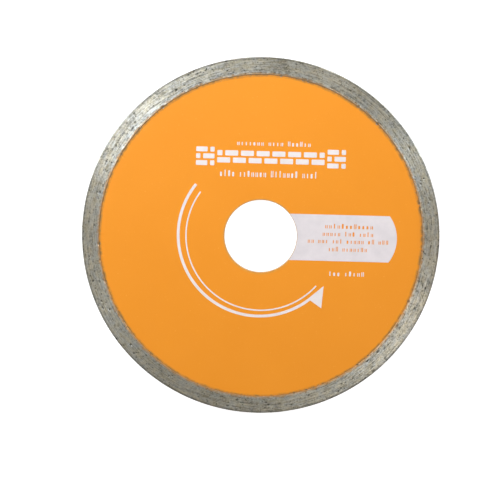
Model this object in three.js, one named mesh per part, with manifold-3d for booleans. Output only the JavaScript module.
// A continuous-rim diamond disc for cutting wall and floor tile on a wet saw.
//
// Units are millimetres. The disc lies flat, with its arbor axis along +Z and its printed side up. The rows
// of print run along +X, and the origin is the centre of the arbor bore on the disc's middle plane.
//
// The disc is a steel core, a sintered diamond rim moulded round the core's keyed edge, a coat of orange
// enamel on each side of the core, and white ink printed over the front coat. Neighbours meet face to face.

import * as THREE from 'three';
import { mergeVertices } from 'three/addons/utils/BufferGeometryUtils.js';
import Module from 'manifold-3d';

// Disc
const OUTER_RADIUS = 55;
const BORE_RADIUS = 22.23 / 2; // a 7/8 inch arbor
const BORE_CHAMFER = 0.1;
const CORE_THICKNESS = 1.2;

// Diamond rim
const RIM_THICKNESS = 1.7;
const RIM_HEIGHT = 5.2; // how far the diamond section reaches in from the outer edge
const RIM_SHOULDER = 0.1; // radial run of the slope between the rim's face and the core's face
const RIM_EDGE_BREAK = 0.15;

// Keys on the core's edge, wider at the tip than at the root so that the rim can't pull off
const KEY_COUNT = 40;
const KEY_ROOT_RADIUS = 50.6;
const KEY_TIP_RADIUS = 51.8;
const KEY_ROOT_SHARE = 0.36; // of the pitch
const KEY_TIP_SHARE = 0.48; // of the pitch

// Enamel and ink
const COAT_THICKNESS = 0.05;
const COAT_BORE_MARGIN = 0.05; // bare steel between the bore's chamfer and the enamel
const COAT_RIM_MARGIN = 0.05; // bare steel between the enamel and the rim's shoulder
const INK_THICKNESS = 0.03;
const INK_BORE_MARGIN = 0.05; // enamel left showing between its own inner edge and the ink

// White panel beside the bore: straight above and below, following the bore at one end, bowed at the other
const PANEL_HALF_HEIGHT = 7.15;
const PANEL_CORNER_X = 39.5;
const PANEL_BOW = 2.4;

// Direction arrow: a thick arc that ends in a one-sided head, with a thin arc inside it
const ARROW_CENTRE = new THREE.Vector2(-0.3, 0.3);
const ARROW_RADIUS = 25.1;
const ARROW_WIDTH = 0.86;
const ARROW_START_DEGREES = 142.7;
const ARROW_END_DEGREES = 309;
const ARROW_BARB = { radius: 29.15, degrees: 311.3 };
const ARROW_TIP = { radius: 24.8, degrees: 322.9 };
const COMPANION_RADIUS = 23;
const COMPANION_WIDTH = 0.42;
const COMPANION_START_DEGREES = 144.9;
const COMPANION_END_DEGREES = 319.4;

// Title band: a long band that is taller over a short length at both ends
const TITLE_CENTRE = new THREE.Vector2(2.5, 24.3);
const TITLE_LENGTH = 46.8;
const TITLE_HEIGHT = 4.4;
const TITLE_END_LENGTH = 6.5;
const TITLE_END_HEIGHT = 6.3;

// Straight rows of print: centre, length and height
const PRINT_ROWS = [
  { name: 'upper_line', x: 3.3, y: 28.6, length: 23, height: 1.5 },
  { name: 'lower_line', x: 1.9, y: 19.2, length: 30.3, height: 2 },
  { name: 'standard_line', x: 26.7, y: -11, length: 11.3, height: 1.5 },
];
const ROW_CORNER_RADIUS = 0.4;

// Sides in a full circle
const RIM_SIDES = 120;
const BORE_SIDES = 72;
const CORNER_SIDES = 12;

// Sizes that follow from the ones above
const RIM_INNER_RADIUS = OUTER_RADIUS - RIM_HEIGHT;
const COAT_INNER_RADIUS = BORE_RADIUS + BORE_CHAMFER + COAT_BORE_MARGIN;
const COAT_OUTER_RADIUS = RIM_INNER_RADIUS - COAT_RIM_MARGIN;
const FRONT_FACE_Z = CORE_THICKNESS / 2;
const BACK_FACE_Z = -CORE_THICKNESS / 2;
const PRINT_Z = FRONT_FACE_Z + COAT_THICKNESS;

const coreSteel = new THREE.MeshStandardMaterial({ color: 0x9a9a98, roughness: 0.35, metalness: 0.95 });
const sinteredBond = new THREE.MeshStandardMaterial({ color: 0x9b988a, roughness: 0.6, metalness: 0.7 });
const orangeEnamel = new THREE.MeshStandardMaterial({ color: 0xf59a35, roughness: 0.35, metalness: 0 });
const whiteInk = new THREE.MeshStandardMaterial({ color: 0xf4eef2, roughness: 0.5, metalness: 0 });

const wasm = await Module();
wasm.setup();

const { degToRad } = THREE.MathUtils;

function polar(radius, angle) {
  return new THREE.Vector2(radius * Math.cos(angle), radius * Math.sin(angle));
}

// Points along an arc of a circle, both ends included, spaced as a full circle of the given sides is.
function arcPoints(radius, from, to, sides, centre = new THREE.Vector2()) {
  const steps = Math.ceil((Math.abs(to - from) * sides) / (2 * Math.PI));
  const points = [];
  for (let step = 0; step <= steps; step += 1) {
    points.push(polar(radius, from + ((to - from) * step) / steps).add(centre));
  }
  return points;
}

function circlePoints(radius, sides) {
  return arcPoints(radius, 0, 2 * Math.PI, sides).slice(0, -1);
}

// A flat piece of even thickness whose underside lies at the given height.
function plate(shape, bottom, thickness) {
  const geometry = new THREE.ExtrudeGeometry(shape, { depth: thickness, bevelEnabled: false });
  return geometry.translate(0, 0, bottom);
}

// A body turned about Z from a profile of radius and height.
function turned(profile, sides) {
  return new THREE.LatheGeometry(profile, sides).rotateX(Math.PI / 2);
}

function solidFrom(geometry) {
  const bare = geometry.clone();
  bare.deleteAttribute('normal');
  bare.deleteAttribute('uv');
  const merged = mergeVertices(bare);
  const mesh = new wasm.Mesh({
    numProp: 3,
    vertProperties: new Float32Array(merged.attributes.position.array),
    triVerts: new Uint32Array(merged.index.array),
  });
  return new wasm.Manifold(mesh);
}

function geometryFrom(solid) {
  const mesh = solid.getMesh();
  const geometry = new THREE.BufferGeometry();
  geometry.setAttribute('position', new THREE.BufferAttribute(mesh.vertProperties, 3));
  geometry.setIndex(new THREE.BufferAttribute(mesh.triVerts, 1));
  geometry.computeVertexNormals();
  return geometry;
}

function cut(blank, tool) {
  return geometryFrom(solidFrom(blank).subtract(solidFrom(tool)));
}

// The whole core without its bore: a disc with dovetail keys round its edge.
function coreBlank() {
  const pitch = (2 * Math.PI) / KEY_COUNT;
  const halfRoot = (KEY_ROOT_SHARE * pitch) / 2;
  const halfTip = (KEY_TIP_SHARE * pitch) / 2;
  const outline = [];
  for (let key = 0; key < KEY_COUNT; key += 1) {
    const middle = key * pitch;
    outline.push(
      polar(KEY_ROOT_RADIUS, middle - halfRoot),
      polar(KEY_TIP_RADIUS, middle - halfTip),
      polar(KEY_TIP_RADIUS, middle + halfTip),
      polar(KEY_ROOT_RADIUS, middle + halfRoot),
    );
  }
  return plate(new THREE.Shape(outline), BACK_FACE_Z, CORE_THICKNESS);
}

// What the bore and its two chamfers remove.
function boreTool() {
  const past = 1; // beyond each face
  const mouth = BORE_RADIUS + BORE_CHAMFER;
  const waistZ = CORE_THICKNESS / 2 - BORE_CHAMFER;
  const endZ = CORE_THICKNESS / 2 + past;
  const profile = [
    new THREE.Vector2(0, -endZ),
    new THREE.Vector2(mouth + past, -endZ),
    new THREE.Vector2(BORE_RADIUS, -waistZ),
    new THREE.Vector2(BORE_RADIUS, waistZ),
    new THREE.Vector2(mouth + past, endZ),
    new THREE.Vector2(0, endZ),
  ];
  return turned(profile, BORE_SIDES);
}

function core() {
  return cut(coreBlank(), boreTool());
}

function rim() {
  const faceZ = RIM_THICKNESS / 2;
  const profile = [
    new THREE.Vector2(RIM_INNER_RADIUS, BACK_FACE_Z),
    new THREE.Vector2(RIM_INNER_RADIUS + RIM_SHOULDER, -faceZ),
    new THREE.Vector2(OUTER_RADIUS - RIM_EDGE_BREAK, -faceZ),
    new THREE.Vector2(OUTER_RADIUS, -faceZ + RIM_EDGE_BREAK),
    new THREE.Vector2(OUTER_RADIUS, faceZ - RIM_EDGE_BREAK),
    new THREE.Vector2(OUTER_RADIUS - RIM_EDGE_BREAK, faceZ),
    new THREE.Vector2(RIM_INNER_RADIUS + RIM_SHOULDER, faceZ),
    new THREE.Vector2(RIM_INNER_RADIUS, FRONT_FACE_Z),
    new THREE.Vector2(RIM_INNER_RADIUS, BACK_FACE_Z),
  ];
  return cut(turned(profile, RIM_SIDES), coreBlank());
}

// A ring of enamel on one face of the core.
function enamel(bottom) {
  const shape = new THREE.Shape(circlePoints(COAT_OUTER_RADIUS, RIM_SIDES));
  shape.holes.push(new THREE.Path(circlePoints(COAT_INNER_RADIUS, BORE_SIDES)));
  return plate(shape, bottom, COAT_THICKNESS);
}

function ink(points) {
  return plate(new THREE.Shape(points), PRINT_Z, INK_THICKNESS);
}

function specPanel() {
  const innerRadius = COAT_INNER_RADIUS + INK_BORE_MARGIN;
  const innerAngle = Math.asin(PANEL_HALF_HEIGHT / innerRadius);
  const bowRadius = (PANEL_HALF_HEIGHT ** 2 + PANEL_BOW ** 2) / (2 * PANEL_BOW);
  const bowAngle = Math.asin(PANEL_HALF_HEIGHT / bowRadius);
  const bowCentre = new THREE.Vector2(PANEL_CORNER_X + PANEL_BOW - bowRadius, 0);
  return ink([
    ...arcPoints(bowRadius, -bowAngle, bowAngle, BORE_SIDES, bowCentre),
    ...arcPoints(innerRadius, innerAngle, -innerAngle, BORE_SIDES),
  ]);
}

function rotationArrow() {
  const start = degToRad(ARROW_START_DEGREES);
  const end = degToRad(ARROW_END_DEGREES);
  const outer = ARROW_RADIUS + ARROW_WIDTH / 2;
  const inner = ARROW_RADIUS - ARROW_WIDTH / 2;
  return ink([
    ...arcPoints(outer, start, end, RIM_SIDES, ARROW_CENTRE),
    polar(ARROW_BARB.radius, degToRad(ARROW_BARB.degrees)),
    polar(ARROW_TIP.radius, degToRad(ARROW_TIP.degrees)),
    ...arcPoints(inner, end, start, RIM_SIDES, ARROW_CENTRE),
  ]);
}

function arrowCompanionLine() {
  const start = degToRad(COMPANION_START_DEGREES);
  const end = degToRad(COMPANION_END_DEGREES);
  return ink([
    ...arcPoints(COMPANION_RADIUS + COMPANION_WIDTH / 2, start, end, RIM_SIDES),
    ...arcPoints(COMPANION_RADIUS - COMPANION_WIDTH / 2, end, start, RIM_SIDES),
  ]);
}

function titleBand() {
  const end = TITLE_LENGTH / 2;
  const neck = end - TITLE_END_LENGTH;
  const low = TITLE_HEIGHT / 2;
  const high = TITLE_END_HEIGHT / 2;
  const upperHalf = [[end, high], [neck, high], [neck, low], [-neck, low], [-neck, high], [-end, high]];
  const lowerHalf = upperHalf.map(([x, y]) => [-x, -y]);
  const outline = [...upperHalf, ...lowerHalf];
  return ink(outline.map(([x, y]) => new THREE.Vector2(x, y).add(TITLE_CENTRE)));
}

// A rectangle with rounded corners.
function printRow({ x, y, length, height }) {
  const reachX = length / 2 - ROW_CORNER_RADIUS;
  const reachY = height / 2 - ROW_CORNER_RADIUS;
  const quarter = Math.PI / 2;
  const corners = [
    new THREE.Vector2(x + reachX, y + reachY),
    new THREE.Vector2(x - reachX, y + reachY),
    new THREE.Vector2(x - reachX, y - reachY),
    new THREE.Vector2(x + reachX, y - reachY),
  ];
  const outline = corners.flatMap((centre, turn) => (
    arcPoints(ROW_CORNER_RADIUS, turn * quarter, (turn + 1) * quarter, CORNER_SIDES, centre)
  ));
  return ink(outline);
}

const disc = new THREE.Group();

function addPart(name, geometry, material) {
  const mesh = new THREE.Mesh(geometry, material);
  mesh.name = name;
  disc.add(mesh);
}

addPart('core', core(), coreSteel);
addPart('rim', rim(), sinteredBond);
addPart('front_enamel', enamel(FRONT_FACE_Z), orangeEnamel);
addPart('back_enamel', enamel(BACK_FACE_Z - COAT_THICKNESS), orangeEnamel);
addPart('spec_panel', specPanel(), whiteInk);
addPart('rotation_arrow', rotationArrow(), whiteInk);
addPart('arrow_companion_line', arrowCompanionLine(), whiteInk);
addPart('title_band', titleBand(), whiteInk);
for (const row of PRINT_ROWS) {
  addPart(row.name, printRow(row), whiteInk);
}

export default disc;
